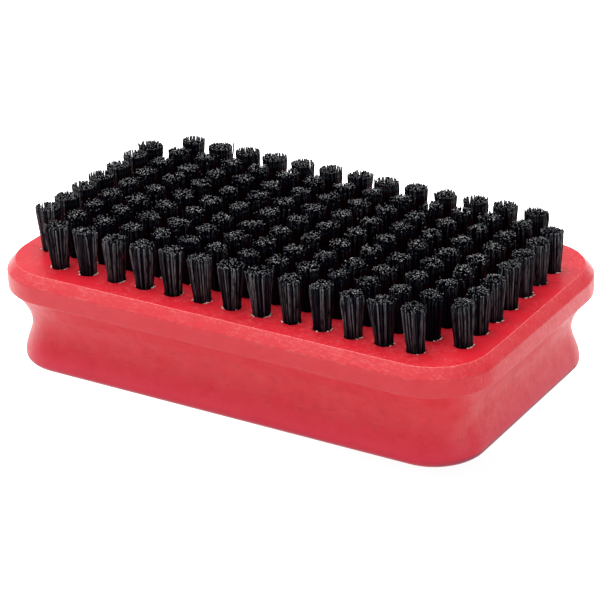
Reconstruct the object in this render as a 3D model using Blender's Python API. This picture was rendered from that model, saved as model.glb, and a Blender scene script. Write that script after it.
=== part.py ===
"""Ski wax brush: a stained beech block with a finger groove all round and black nylon tufts set in its face.

The brush lies on its flat back with the bristles up. X is its length, Y its width, and Z = 0 is the back.
Each row of tufts across the brush is one solid, because its tufts stand on a thin strip in a channel that
joins the bottoms of their holes. The flat wire anchors in the eyes of a row's tufts are linked in the same way.
"""

import math
import random

import bmesh
import bpy
from mathutils import Vector

MM = 0.001

# The beech block: its outline, and the heights that stack up from the back to the bristle face
BLOCK_LENGTH = 130.0 * MM
BLOCK_WIDTH = 78.0 * MM
CORNER_RADIUS = 16.0 * MM
LEAST_CORNER_RADIUS = 1.0 * MM
BACK_HEIGHT = 2.5 * MM
FLARE_HEIGHT = 8.3 * MM
GROOVE_HEIGHT = 9.3 * MM
RIM_HEIGHT = 4.5 * MM
CHAMFER_HEIGHT = 2.4 * MM

# How far each part of the block's side stands in from the outline
CHAMFER_WIDTH = 2.1 * MM
LIP_RADIUS = 0.6 * MM
GROOVE_START_INSET = 0.8 * MM
NECK_INSET = 5.2 * MM
BASE_INSET = 3.2 * MM
BACK_ROUNDING = 5.0 * MM

# How finely the block is drawn
CORNER_STEPS = 7
LIP_STEPS = 2
GROOVE_STEPS = 5
FLARE_STEPS = 5
BACK_STEPS = 4
HOLE_SIDES = 8

# One tuft of bristles, and the strip that its row stands on
TUFT_RADIUS = 2.2 * MM
BRISTLE_HEIGHT = 10.8 * MM
TIP_SPREAD = 0.9 * MM
TIP_SCATTER = 0.2 * MM
TIP_SHARE = 0.8
STRIP_OVERHANG = 0.4 * MM
STRIP_HEIGHT = 0.8 * MM
SCATTER_SEED = 7

# The holes, and the wood left between them, between their channels and beside the neck
FIT_CLEARANCE = 0.3 * MM
HOLE_DEPTH = 8.5 * MM
HOLE_GAP = 2.4 * MM
CHANNEL_WALL = 2.2 * MM
EDGE_WALL = 0.5 * MM

# The flat wire anchors that hold the tufts down
ANCHOR_THICKNESS = 0.5 * MM
ANCHOR_RISE = 1.3 * MM
ANCHOR_LINK_HEIGHT = 0.5 * MM

CUT_OVERRUN = 1.0 * MM
SMOOTH_ANGLE = math.radians(35)

RED_STAIN = (0.62, 0.035, 0.05, 1.0)
BLACK_NYLON = (0.012, 0.012, 0.014, 1.0)
ANCHOR_STEEL = (0.55, 0.55, 0.56, 1.0)

# Heights above the back that several pieces share
NECK_Z = BACK_HEIGHT + FLARE_HEIGHT
LIP_Z = NECK_Z + GROOVE_HEIGHT
RIM_TOP_Z = LIP_Z + RIM_HEIGHT
FACE_Z = RIM_TOP_Z + CHAMFER_HEIGHT
CHANNEL_TOP = FACE_Z - HOLE_DEPTH
LINK_TOP = CHANNEL_TOP - FIT_CLEARANCE
ANCHOR_TOP = LINK_TOP + ANCHOR_RISE
ANCHOR_BOTTOM = LINK_TOP - ANCHOR_LINK_HEIGHT
STRIP_TOP = ANCHOR_BOTTOM - FIT_CLEARANCE
STRIP_BOTTOM = STRIP_TOP - STRIP_HEIGHT
CHANNEL_BOTTOM = STRIP_BOTTOM - FIT_CLEARANCE
EYE_TOP = ANCHOR_TOP + FIT_CLEARANCE

# Widths that several pieces share
HOLE_INNER_RADIUS = TUFT_RADIUS + FIT_CLEARANCE
HOLE_RADIUS = HOLE_INNER_RADIUS / math.cos(math.pi / HOLE_SIDES)
STRIP_REACH = TUFT_RADIUS + STRIP_OVERHANG
CHANNEL_REACH = STRIP_REACH + FIT_CLEARANCE
ANCHOR_REACH = HOLE_INNER_RADIUS - FIT_CLEARANCE

# The grid of tufts, with as many columns along X and rows along Y as the wood has room for
COLUMN_PITCH = 2 * CHANNEL_REACH + CHANNEL_WALL
ROW_PITCH = 2 * HOLE_INNER_RADIUS + HOLE_GAP
CHANNEL_INSET = NECK_INSET + EDGE_WALL
GRID_INSET = CHANNEL_INSET + CHANNEL_REACH
COLUMNS = int((BLOCK_LENGTH - 2 * GRID_INSET) / COLUMN_PITCH) + 1
ROWS = int((BLOCK_WIDTH - 2 * GRID_INSET) / ROW_PITCH) + 1


def clear_scene():
    for old in list(bpy.data.objects):
        bpy.data.objects.remove(old)


def make_material(name, colour, roughness, metallic):
    material = bpy.data.materials.new(name)
    material.use_nodes = True
    shader = material.node_tree.nodes["Principled BSDF"]
    shader.inputs["Base Color"].default_value = colour
    shader.inputs["Roughness"].default_value = roughness
    shader.inputs["Metallic"].default_value = metallic
    return material


def make_object(name, bm, material, smooth=False):
    """A new object of this mesh, with its faces turned outwards."""
    bmesh.ops.recalc_face_normals(bm, faces=bm.faces)
    mesh = bpy.data.meshes.new(name)
    bm.to_mesh(mesh)
    bm.free()
    if smooth:
        mesh.shade_smooth()
        mesh.set_sharp_from_angle(angle=SMOOTH_ANGLE)
    if material:
        mesh.materials.append(material)
    obj = bpy.data.objects.new(name, mesh)
    bpy.context.scene.collection.objects.link(obj)
    return obj


def add_boolean(obj, other, operation):
    """Joins or cuts with another object, which is then left out of the part."""
    other.hide_render = True
    other.display_type = "WIRE"
    modifier = obj.modifiers.new(other.name, "BOOLEAN")
    modifier.object = other
    modifier.operation = operation
    modifier.solver = "EXACT"


def add_box(bm, low, high):
    """A box between two corners."""
    size = high - low
    made = bmesh.ops.create_cube(bm, size=1.0)
    bmesh.ops.scale(bm, vec=size, verts=made["verts"])
    bmesh.ops.translate(bm, vec=(low + high) / 2, verts=made["verts"])


def column_x(column):
    return (column - (COLUMNS - 1) / 2) * COLUMN_PITCH


def distance_inside(x, y):
    """How far inside the block's outline a point lies."""
    past_x = abs(x) - (BLOCK_LENGTH / 2 - CORNER_RADIUS)
    past_y = abs(y) - (BLOCK_WIDTH / 2 - CORNER_RADIUS)
    if past_x > 0 and past_y > 0:
        return CORNER_RADIUS - math.hypot(past_x, past_y)
    return CORNER_RADIUS - max(past_x, past_y)


def tuft_places(column):
    """The Y of each tuft in a column, leaving out the corner holes that would come too near the neck."""
    places = []
    for row in range(ROWS):
        y = (row - (ROWS - 1) / 2) * ROW_PITCH
        corner_x = abs(column_x(column)) + CHANNEL_REACH
        corner_y = abs(y) + CHANNEL_REACH
        if distance_inside(corner_x, corner_y) > CHANNEL_INSET:
            places.append(y)
    return places


def block_profile():
    """(height, inset) up the block's side, from the flat back to the bristle face."""
    profile = []
    for step in range(BACK_STEPS + 1):
        turn = step / BACK_STEPS * math.pi / 2
        height = BACK_HEIGHT * (1 - math.cos(turn))
        profile.append((height, BASE_INSET + BACK_ROUNDING * (1 - math.sin(turn))))
    for step in range(1, FLARE_STEPS + 1):
        way = step / FLARE_STEPS
        ease = (1 - math.cos(way * math.pi)) / 2
        inset = BASE_INSET + (NECK_INSET - BASE_INSET) * ease
        profile.append((BACK_HEIGHT + FLARE_HEIGHT * way, inset))
    for step in range(1, GROOVE_STEPS + 1):
        way = step / GROOVE_STEPS
        depth = (NECK_INSET - GROOVE_START_INSET) * math.cos(way * math.pi / 2)
        profile.append((NECK_Z + GROOVE_HEIGHT * way, GROOVE_START_INSET + depth))
    for step in range(1, LIP_STEPS + 1):
        turn = step / LIP_STEPS * math.pi / 2
        height = LIP_Z + LIP_RADIUS * (1 - math.cos(turn))
        profile.append((height, LIP_RADIUS * (1 - math.sin(turn))))
    profile.append((RIM_TOP_Z, 0.0))
    profile.append((FACE_Z, CHAMFER_WIDTH))
    return profile


def block_outline(inset):
    """The block's rounded rectangle, drawn in by an inset, as points anticlockwise."""
    radius = max(CORNER_RADIUS - inset, LEAST_CORNER_RADIUS)
    corner_x = BLOCK_LENGTH / 2 - inset - radius
    corner_y = BLOCK_WIDTH / 2 - inset - radius
    points = []
    for quarter, (side_x, side_y) in enumerate(((1, 1), (-1, 1), (-1, -1), (1, -1))):
        for step in range(CORNER_STEPS + 1):
            turn = (quarter + step / CORNER_STEPS) * math.pi / 2
            x = side_x * corner_x + radius * math.cos(turn)
            y = side_y * corner_y + radius * math.sin(turn)
            points.append((x, y))
    return points


def make_hole_cutter():
    bm = bmesh.new()
    height = HOLE_DEPTH + (CHANNEL_TOP - CHANNEL_BOTTOM) / 2 + CUT_OVERRUN
    for column in range(COLUMNS):
        for y in tuft_places(column):
            made = bmesh.ops.create_cone(
                bm,
                cap_ends=True,
                segments=HOLE_SIDES,
                radius1=HOLE_RADIUS,
                radius2=HOLE_RADIUS,
                depth=height,
            )
            centre = Vector((column_x(column), y, FACE_Z + CUT_OVERRUN - height / 2))
            bmesh.ops.translate(bm, vec=centre, verts=made["verts"])
    return make_object("hole_cutter", bm, None)


def make_channel_cutter():
    bm = bmesh.new()
    for column in range(COLUMNS):
        x = column_x(column)
        places = tuft_places(column)
        low = Vector((x - CHANNEL_REACH, places[0] - CHANNEL_REACH, CHANNEL_BOTTOM))
        high = Vector((x + CHANNEL_REACH, places[-1] + CHANNEL_REACH, CHANNEL_TOP))
        add_box(bm, low, high)
    return make_object("channel_cutter", bm, None)


def make_block(material):
    bm = bmesh.new()
    rings = []
    for height, inset in block_profile():
        verts = [bm.verts.new((x, y, height)) for x, y in block_outline(inset)]
        rings.append(verts)
    for lower, upper in zip(rings, rings[1:]):
        edges = []
        for ring in (lower, upper):
            for start, end in zip(ring, ring[1:] + ring[:1]):
                edges.append(bm.edges.get((start, end)) or bm.edges.new((start, end)))
        bmesh.ops.bridge_loops(bm, edges=edges)
    bm.faces.new(rings[0])
    bm.faces.new(rings[-1])
    block = make_object("block", bm, material, smooth=True)
    add_boolean(block, make_hole_cutter(), "DIFFERENCE")
    add_boolean(block, make_channel_cutter(), "DIFFERENCE")


def add_strand(bm, foot, centre, lean, height):
    """A four-sided bristle strand that grows from a rhombus at the block's face."""
    spread = 1 + TIP_SPREAD / TUFT_RADIUS
    middle = sum((vert.co for vert in foot), Vector()) / len(foot)
    tips = []
    for vert in foot:
        shrunk = middle + (vert.co - middle) * TIP_SHARE
        tip = centre + (shrunk - centre) * spread + lean
        tips.append(bm.verts.new((tip.x, tip.y, FACE_Z + height)))
    bm.faces.new(tips)
    for near in range(len(foot)):
        far = (near + 1) % len(foot)
        bm.faces.new((foot[near], foot[far], tips[far], tips[near]))


def add_tuft(bm, x, y, scatter):
    """One tuft: two legs either side of the anchor's eye, a six-sided root above it, and three strands."""
    centre = Vector((x, y, FACE_Z))
    corners = []
    for side in range(6):
        turn = side * math.pi / 3
        offset = Vector((math.cos(turn), math.sin(turn), 0.0)) * TUFT_RADIUS
        corners.append(centre + offset)

    def ring(height):
        return [bm.verts.new((corner.x, corner.y, height)) for corner in corners]

    face = ring(FACE_Z)
    eye = ring(EYE_TOP)
    foot = ring((STRIP_BOTTOM + STRIP_TOP) / 2)
    for near in range(6):
        far = (near + 1) % 6
        bm.faces.new((eye[near], eye[far], face[far], face[near]))
    bm.faces.new([eye[side] for side in (1, 2, 4, 5)])
    for leg in ((5, 0, 1), (2, 3, 4)):
        bm.faces.new([foot[side] for side in leg])
        for near, far in zip(leg, leg[1:] + leg[:1]):
            bm.faces.new((foot[near], foot[far], eye[far], eye[near]))
    middle = bm.verts.new(centre)
    lean = Vector((scatter.uniform(-1, 1), scatter.uniform(-1, 1), 0.0)) * TIP_SCATTER
    for first in (0, 2, 4):
        sides = [face[(first + step) % 6] for step in range(3)]
        height = BRISTLE_HEIGHT + scatter.uniform(-1, 1) * TIP_SCATTER
        add_strand(bm, [middle] + sides, centre, lean, height)


def make_bristle_row(column, material, scatter):
    number = column + 1
    x = column_x(column)
    places = tuft_places(column)
    bm = bmesh.new()
    for y in places:
        add_tuft(bm, x, y, scatter)
    row = make_object(f"bristle_row_{number:02d}", bm, material)
    bm = bmesh.new()
    low = Vector((x - STRIP_REACH, places[0] - STRIP_REACH, STRIP_BOTTOM))
    high = Vector((x + STRIP_REACH, places[-1] + STRIP_REACH, STRIP_TOP))
    add_box(bm, low, high)
    add_boolean(row, make_object(f"strip_{number:02d}", bm, None), "UNION")


def make_anchor_row(column, material):
    """A comb of flat wire anchors, each standing in the eye of its tuft."""
    places = tuft_places(column)
    outline = []
    for y in places:
        if y != places[0]:
            outline.append((y - ANCHOR_REACH, LINK_TOP))
        outline.append((y - ANCHOR_REACH, ANCHOR_TOP))
        outline.append((y + ANCHOR_REACH, ANCHOR_TOP))
        if y != places[-1]:
            outline.append((y + ANCHOR_REACH, LINK_TOP))
    outline.append((places[-1] + ANCHOR_REACH, ANCHOR_BOTTOM))
    outline.append((places[0] - ANCHOR_REACH, ANCHOR_BOTTOM))
    bm = bmesh.new()
    near_x = column_x(column) - ANCHOR_THICKNESS / 2
    side = bm.faces.new([bm.verts.new((near_x, y, z)) for y, z in outline])
    made = bmesh.ops.extrude_face_region(bm, geom=[side], use_keep_orig=True)
    moved = [item for item in made["geom"] if isinstance(item, bmesh.types.BMVert)]
    bmesh.ops.translate(bm, vec=(ANCHOR_THICKNESS, 0.0, 0.0), verts=moved)
    make_object(f"anchor_row_{column + 1:02d}", bm, material)


def main():
    clear_scene()
    stained_beech = make_material("stained_beech", RED_STAIN, 0.38, 0.0)
    black_nylon = make_material("black_nylon", BLACK_NYLON, 0.45, 0.0)
    anchor_wire = make_material("anchor_wire", ANCHOR_STEEL, 0.35, 1.0)
    make_block(stained_beech)
    scatter = random.Random(SCATTER_SEED)
    for column in range(COLUMNS):
        make_bristle_row(column, black_nylon, scatter)
        make_anchor_row(column, anchor_wire)


main()
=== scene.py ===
"""Ski wax brush: models the stained beech block, its nylon tufts and its wire anchors, and lights them.

Every size is in metres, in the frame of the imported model: X is the brush's length, Y its width, and
Z = 0 its flat back.
"""

import math
import random

import bmesh
import bpy
from mathutils import Matrix, Quaternion, Vector, noise


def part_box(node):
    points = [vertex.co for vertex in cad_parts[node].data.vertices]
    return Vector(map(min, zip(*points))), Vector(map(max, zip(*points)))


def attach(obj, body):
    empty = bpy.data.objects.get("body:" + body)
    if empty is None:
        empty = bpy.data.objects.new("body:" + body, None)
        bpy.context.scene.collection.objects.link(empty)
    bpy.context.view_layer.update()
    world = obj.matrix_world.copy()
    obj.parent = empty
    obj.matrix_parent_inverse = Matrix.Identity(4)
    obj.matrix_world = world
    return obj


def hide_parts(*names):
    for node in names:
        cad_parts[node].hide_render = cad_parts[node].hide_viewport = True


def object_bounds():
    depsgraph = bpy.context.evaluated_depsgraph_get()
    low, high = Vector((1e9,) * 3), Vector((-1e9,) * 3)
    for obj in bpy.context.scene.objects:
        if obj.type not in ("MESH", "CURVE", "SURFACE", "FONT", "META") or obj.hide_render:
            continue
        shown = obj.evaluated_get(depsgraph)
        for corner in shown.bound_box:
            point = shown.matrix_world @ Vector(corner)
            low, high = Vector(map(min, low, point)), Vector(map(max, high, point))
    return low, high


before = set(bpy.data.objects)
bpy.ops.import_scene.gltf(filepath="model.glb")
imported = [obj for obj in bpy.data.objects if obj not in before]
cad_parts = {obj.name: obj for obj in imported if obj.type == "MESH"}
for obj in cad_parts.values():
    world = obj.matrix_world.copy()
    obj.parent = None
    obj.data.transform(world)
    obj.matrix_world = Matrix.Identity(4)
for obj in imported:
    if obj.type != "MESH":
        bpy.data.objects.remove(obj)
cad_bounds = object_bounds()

bl_info = {
    "name": "Ski wax brush",
    "version": (1, 0, 0),
    "blender": (4, 5, 0),
    "location": "View3D > Sidebar > Brush",
    "description": "Models a beech ski wax brush with black nylon tufts and sets it on a white stage",
    "category": "Add Mesh",
}

MM = 0.001

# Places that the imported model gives
ROW_NAMES = sorted(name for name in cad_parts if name.startswith("bristle_row_"))
BLOCK_LOW, BLOCK_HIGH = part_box("block")
STRIP_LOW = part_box(ROW_NAMES[0])[0]
ANCHOR_LOW, ANCHOR_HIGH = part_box("anchor_row_01")
FACE_HEIGHT = BLOCK_HIGH[2]
TIP_HEIGHT = cad_bounds[1][2]
# How far under that height each filament's middle ends at least
TIP_GAP = 0.02 * MM
# Tufts further out than this are at the left end
LEFT_END = 0.8 * BLOCK_LOW[0]

# One seed for each piece that chance shapes
HOLE_SEED = 3
TUFT_SEED = 11
SPLINTER_SEED = 5

# Steps round the block's curves
BACK_STEPS = 10
GROOVE_STEPS = 14
LIP_STEPS = 5
EDGE_STEPS = 4
CORNER_SEGMENTS = 20
STRAIGHT_CUTS = 23
HOLE_SEGMENTS = 20

# How far the stain is worn on each part of the block's side, from 0 to 1. On the lip this paints a highlight
# line, and on the top edge it is wear plus a painted highlight line
RIM_WEAR = 0.2
LIP_HIGHLIGHT = 0.65
CHAMFER_FOOT_WEAR = 0.2
CHAMFER_WEAR = 0.1
TOP_EDGE_WEAR_AND_HIGHLIGHT = 0.7
# Start and end of the painted highlight line on the lip, and start of the rim, in lip radii above the lip's
# foot
LIP_BAND = (0.05, 0.6)
RIM_START = 0.5
# (how far in from the chamfer, wear and painted highlight) of the rings at the edge of the bristle face
FACE_RINGS = ((0.36 * MM, 0.3), (0.9 * MM, 0.0))
# Length of the waves that hand sanding left in the chamfer, how many ripples lie in one, and their height
SANDING_WAVE = 9 * MM
RIPPLES = 4
RIPPLE_SHARE = 0.5

# Depth of the grain's relief
GRAIN_DEPTH = 0.06 * MM
# Millimetres above the back where the bluer tone and the painted shade along the foot start, and where they
# are full
COOL_BAND = (11.0, 1.0)
FOOT_SHADE_BAND = (3.0, 2.1)

# How wide the torn wood round a hole reaches, and how uneven it is
TORN_MARGIN = 0.45 * MM
TORN_UNEVENNESS = (0.95, 1.07)
# (wider than the hole, depth under the face, share of torn wood) of each ring down a hole
HOLE_RINGS = (
    (0.14 * MM, 0.0, 0.35),
    (0.04 * MM, 0.03 * MM, 1.0),
    (0.0, 0.12 * MM, 1.0),
    (0.0, 0.9 * MM, 0.3),
    (0.0, FACE_HEIGHT - STRIP_LOW[2], 0.0),
)

# Rings of a strand: -1 is its root on the anchor, 0 the bristle face and 1 its tip
STRAND_LEVELS = (-1.0, -0.05, 0.30, 0.60, 0.80, 0.87, 0.93, 0.98, 1.0)
STRAND_SIDES = 5
# Width of a strand at its cut end, as a share of its width at the root
TIP_NARROWING = 0.95
# Level above which a tip bends, the bend's length, and how far it lowers the tip, as a share of the hook
BEND_START = 0.80
BEND_LENGTH = 0.20
BEND_DROP = 0.35
# Half of the short stretch of a strand that gives its heading
STEP_AHEAD = 0.02
# How far out the inner filaments of a tuft reach, as a share of its radius
CORE_REACH = 0.90
# Paleness of the inner filaments' sides at most, kept low as painted shade inside the tuft, and choices for
# the outer ones' sides, which paint streaks of light on them, and for the tips
CORE_SHADE = 0.12
SHELL_SHADES = (0.10, 0.22, 0.42, 0.60, 0.72, 0.84, 0.96)
TIP_SHADES = (0.08, 0.12, 0.16, 0.21, 0.27, 0.35, 0.55)
# Choices for how far a tip hooks in, and for how far a filament is sunk where it stands past SUNK_START
HOOK_SHARES = (0.1, 0.4, 0.7, 1.0, 1.6)
SUNK_SHARES = (0.0, 0.0, 0.0, 0.5, 1.0, 2.2)
SUNK_START = 0.75
# Ranges that chance picks from for a whole tuft. Below 0 in the parting's range, the tuft isn't split
SPREAD_RANGE = (0.75, 1.25)
BOW_RANGE = (0.0, 1.8)
PARTING_PLACE = (0.40, 0.85)
PARTING_RANGE = (-0.7, 1.4)
CLUMPS = (9, 14)
GLOW_RANGE = (0.6, 1.2)
# Spreads of chance for a whole tuft
LEAN_SPREAD = 0.5
TILT_SPREAD = 0.05
PARTING_TURN_SPREAD = 0.7
LIFT_SPREAD = 0.8
# How far tips close in at the front left, as a share of those at the back left, and how much this varies
FRONT_SHARE = 0.2
CLOSED_SPREAD = 0.15
# Start and gain of a tuft's spread, hook and dome as its tips close in, and how much the last two vary
SPREAD_CLOSING = (1.1, -0.2)
HOOK_CLOSING = (0.2, 1.2)
DOME_CLOSING = (-0.2, 1.6)
CLOSING_SPREAD = 0.25
# The golden angle in half circles, which spreads the inner filaments evenly
GOLDEN_TURN = 3 - math.sqrt(5)
# Ranges and spreads for one filament
CORE_TURN_RANGE = (-0.25, 0.25)
SHELL_TURN_SPREAD = 0.09
BOW_JITTER = 0.4
LEAST_CUT = 0.7
FILAMENT_BOW_RANGE = (0.0, 1.6)
THICKNESS_RANGE = (0.85, 1.1)
# Least cosine of the turn between a lit filament and the way out of the field
LIT_LIMIT = -0.4
# Painted light on lit filaments at the left end and how much less at the right, its share at the root, where
# the rest is painted shade, and the level where it is all there
LEFT_PAINTED_LIGHT = 1.35
PAINTED_LIGHT_LOSS = 0.40
ROOT_PAINTED_LIGHT = 0.2
PAINTED_LIGHT_LEVEL = 0.45
# Start and gain of the painted light on the others as their tips close in, and how steeply it fades downwards
# into painted shade
HIDDEN_PAINTED_LIGHT = (0.17, 0.55)
HIDDEN_FADE = 5

# Slivers round a hole: how many, where the drill tore most, and sizes in millimetres or radians
SPLINTER_COUNT = (2, 9)
SPLINTER_TURNS = (-0.40, -0.15, 0.10, math.pi + 0.85)
SPLINTER_TURN_SPREAD = 0.32
SPLINTER_OUT = (-0.05, 0.18)
SPLINTER_LENGTH = (0.35, 0.90)
SPLINTER_WIDTH = (0.22, 0.55)
SPLINTER_THICKNESS = (0.10, 0.26)
SPLINTER_HEADING_SPREAD = 0.5
SPLINTER_TILT = (-0.1, 0.5)
SPLINTER_ROUGHNESS = (-0.03, 0.03)
SPLINTER_SIDES = 5

DARK_WIRE = (0.42, 0.42, 0.44)
BRIGHT_WIRE = (0.66, 0.65, 0.63)

# (name, place, side of its square) of each soft lamp, whose radiance is the stage's setting of that name
LAMPS = (
    ("overhead", (-0.25, 0.08, 1.20), 1.0),
    ("key", (-0.95, -0.40, 1.00), 0.75),
    ("fill", (1.15, -0.35, 0.25), 0.70),
)
# Width of the camera's sensor in millimetres
SENSOR_WIDTH = 36.0
# How far the floor lies under the brush, so that the two faces don't fight
FLOOR_DROP = 0.05 * MM
# Share of the floor's own white in what the camera sees, and its strength
FLOOR_SHARE = 0.90
FLOOR_WHITE = 1.06
# The floor behind the brush shines more: the slope of that border, and where it begins and is full
BACKDROP_SLOPE = 0.5
BACKDROP_BORDER = (-0.06, 0.09)
# At the left it shines a little more too
LEFT_BORDER = (-0.035, -0.070)
LEFT_SHARE = 0.25
# Painted shadow: the floor close to the brush mirrors darker
CONTACT_BORDER = (0.16, 0.06)
CONTACT_SHADE = 0.18


def length(name, description, default):
    return bpy.props.FloatProperty(
        name=name, description=description, default=default, unit="LENGTH", precision=5
    )


def share(name, description, default):
    return bpy.props.FloatProperty(name=name, description=description, default=default, min=0.0)


def count(name, description, default):
    return bpy.props.IntProperty(name=name, description=description, default=default, min=0)


def colour(name, description, default):
    return bpy.props.FloatVectorProperty(
        name=name, description=description, default=default, size=3, subtype="COLOR", min=0.0, max=1.0
    )


class BlockSizes(bpy.types.PropertyGroup):
    """Sizes of the beech block, whose outer box comes from the frame."""

    corner_radius: length("Corner radius", "Radius of the outline's corners", 16.0 * MM)
    chamfer_width: length("Chamfer width", "How far the chamfer reaches in over the bristle face", 2.1 * MM)
    chamfer_height: length("Chamfer height", "How far the chamfer reaches down the side", 2.4 * MM)
    rim_height: length("Rim height", "Height of the upright rim under the chamfer", 4.5 * MM)
    lip_radius: length("Lip radius", "Rounding of the rim's lower edge", 0.6 * MM)
    groove_start: length("Groove start", "How far in the groove starts under the rim", 0.8 * MM)
    neck_inset: length("Neck inset", "How far in the narrowest part of the groove lies", 5.2 * MM)
    neck_height: length("Neck height", "Height of the narrowest part above the back", 10.8 * MM)
    base_inset: length("Base inset", "How far in the base's widest part lies", 3.2 * MM)
    back_height: length("Back rounding height", "Height of the rounded lower edge", 2.5 * MM)
    back_rounding: length("Back rounding width", "Width of the rounded lower edge", 5.0 * MM)
    top_edge_softness: length("Top edge softness", "Rounding of the chamfer's upper edge", 0.12 * MM)
    rim_edge_softness: length("Rim edge softness", "Rounding of the chamfer's lower edge", 0.3 * MM)
    sanding_wobble: length("Sanding wobble", "How far the hand-sanded chamfer wanders", 0.10 * MM)
    hole_diameter: length("Hole diameter", "Diameter of a tuft hole", 4.4 * MM)
    row_pitch: length("Row pitch", "Spacing of the tufts across the width", 7.4 * MM)


class WoodFinish(bpy.types.PropertyGroup):
    """Colours of the stained and the bare beech."""

    stain: colour("Stain", "Red stain on the wood", (0.820, 0.012, 0.030))
    dark_stain: colour("Dark stain", "Stain that has soaked into the pores", (0.580, 0.008, 0.020))
    thin_stain: colour("Thin stain", "Stain where the wood took up less of it", (0.830, 0.056, 0.070))
    # Also the colour of the painted highlight lines on the lip and the top edge
    light_stain: colour("Light stain", "Thin stain on the sanded edges", (0.950, 0.280, 0.270))
    # A bluer tone towards the foot
    bluer_foot_tone: colour("Cool stain", "Stain that has pooled towards the foot", (0.800, 0.016, 0.064))
    # Painted shade along the lowest edge, where the block meets the floor
    painted_foot_shade: colour("Foot line", "Stain that has soaked into the lowest edge", (0.300, 0.040, 0.090))
    # Painted shade: the darker stain on the bristle face between the inner tufts
    painted_field_shade: colour("Field stain", "Stain darkened by old wax between the tufts", (0.360, 0.005, 0.012))
    bare_beech: colour("Bare beech", "Wood torn open round the holes", (0.900, 0.800, 0.680))
    roughness: share("Roughness", "Roughness of the satin lacquer", 0.36)
    gloss: share("Gloss", "Strength of the lacquer's reflections", 0.48)


class TuftSizes(bpy.types.PropertyGroup):
    """Sizes and colours of the tufts and their filaments."""

    filaments: count("Filaments", "Filaments in one tuft", 94)
    shell_filaments: count("Shell filaments", "How many of them stand round the outside of the tuft", 26)
    filament_diameter: length("Filament diameter", "Diameter of one filament", 0.30 * MM)
    root_radius: length("Root radius", "Radius of the bundle where it leaves the hole", 2.02 * MM)
    tip_spread: length("Tip spread", "How much wider the bundle is at its tips", 1.02 * MM)
    bow: length("Bow", "How far a filament bows out on its way up", 0.07 * MM)
    hook: length("Hook", "How far an outer filament's tip turns back in", 0.34 * MM)
    dome: length("Dome", "How much lower the outer filaments end", 0.50 * MM)
    tuft_lean: length("Tuft lean", "How far a whole tuft leans at its tips", 0.25 * MM)
    parting: length("Parting", "How far a split tuft opens at its tips", 0.35 * MM)
    tip_jitter: length("Tip jitter", "How far a filament's tip strays inside its tuft", 0.12 * MM)
    curl: length("Curl", "How far a worn tip turns aside", 0.20 * MM)
    height_jitter: length("Height jitter", "How unevenly the filaments are cut", 0.16 * MM)
    clumping: share("Clumping", "How far filaments that touch draw together at their tips", 0.40)
    stray_reach: length("Stray reach", "How far a stray filament leans out", 0.9 * MM)
    stray_share: share("Stray share", "Share of the filaments that stray", 0.008)
    nylon: colour("Nylon", "Black nylon", (0.002, 0.004, 0.011))
    # Painted light and sheen on the sides of the lit filaments
    painted_light_nylon: colour("Pale nylon", "Sides of the palest filaments", (0.148, 0.151, 0.162))
    cut_nylon: colour("Cut nylon", "Worn and cut ends of the filaments", (0.800, 0.800, 0.800))
    sheen: share("Sheen", "Strength of the nylon's reflections", 0.05)


class StageSettings(bpy.types.PropertyGroup):
    """The camera, the lamps and the floor."""

    camera_place: bpy.props.FloatVectorProperty(
        name="Camera place", description="Where the camera stands", default=(0.31644, -0.51720, 0.30370),
        unit="LENGTH",
    )
    camera_aim: bpy.props.FloatVectorProperty(
        name="Camera aim", description="What the camera points at", default=(0.00226, -0.00338, 0.01810),
        unit="LENGTH",
    )
    camera_roll: bpy.props.FloatProperty(
        name="Camera roll", description="How far the camera is tilted", default=math.radians(-1.59),
        unit="ROTATION",
    )
    lens: bpy.props.FloatProperty(name="Lens", description="Focal length in millimetres", default=168.35)
    sky: share("Sky", "Strength of the white surroundings as a light", 0.60)
    mirrored_sky: share("Mirrored sky", "How far reflections see them at full white", 0.15)
    overhead: share("Overhead lamp", "Radiance of the soft lamp over the brush", 3.6)
    key: share("Key lamp", "Radiance of the soft lamp at the upper left", 0.5)
    fill: share("Fill lamp", "Radiance of the low soft lamp at the right", 0.57)
    backdrop: share("Backdrop", "How much brighter the floor shines behind the brush", 1.8)
    floor_size: length("Floor size", "Side of the square floor", 6.0)
    floor: colour("Floor", "Colour of the floor", (0.80, 0.80, 0.80))


class Wire:
    """The output of a shader node, so that sums of values can be written as Python expressions."""

    def __init__(self, shader, socket):
        self.shader = shader
        self.socket = socket

    def sum(self, operation, first, second):
        return self.shader.node("ShaderNodeMath", {"operation": operation}, {0: first, 1: second})

    def __add__(self, other):
        return self.sum("ADD", self, other)

    def __radd__(self, other):
        return self.sum("ADD", other, self)

    def __sub__(self, other):
        return self.sum("SUBTRACT", self, other)

    def __rsub__(self, other):
        return self.sum("SUBTRACT", other, self)

    def __mul__(self, other):
        return self.sum("MULTIPLY", self, other)

    def __rmul__(self, other):
        return self.sum("MULTIPLY", other, self)

    def __truediv__(self, other):
        return self.sum("DIVIDE", self, other)

    def between(self, low, high):
        """0 at low, 1 at high and a soft step between them."""
        settings = {"interpolation_type": "SMOOTHSTEP"}
        inputs = {"Value": self, "From Min": low, "From Max": high}
        return self.shader.node("ShaderNodeMapRange", settings, inputs)

    def clamped(self):
        return self.shader.node("ShaderNodeClamp", {}, {"Value": self})


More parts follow.
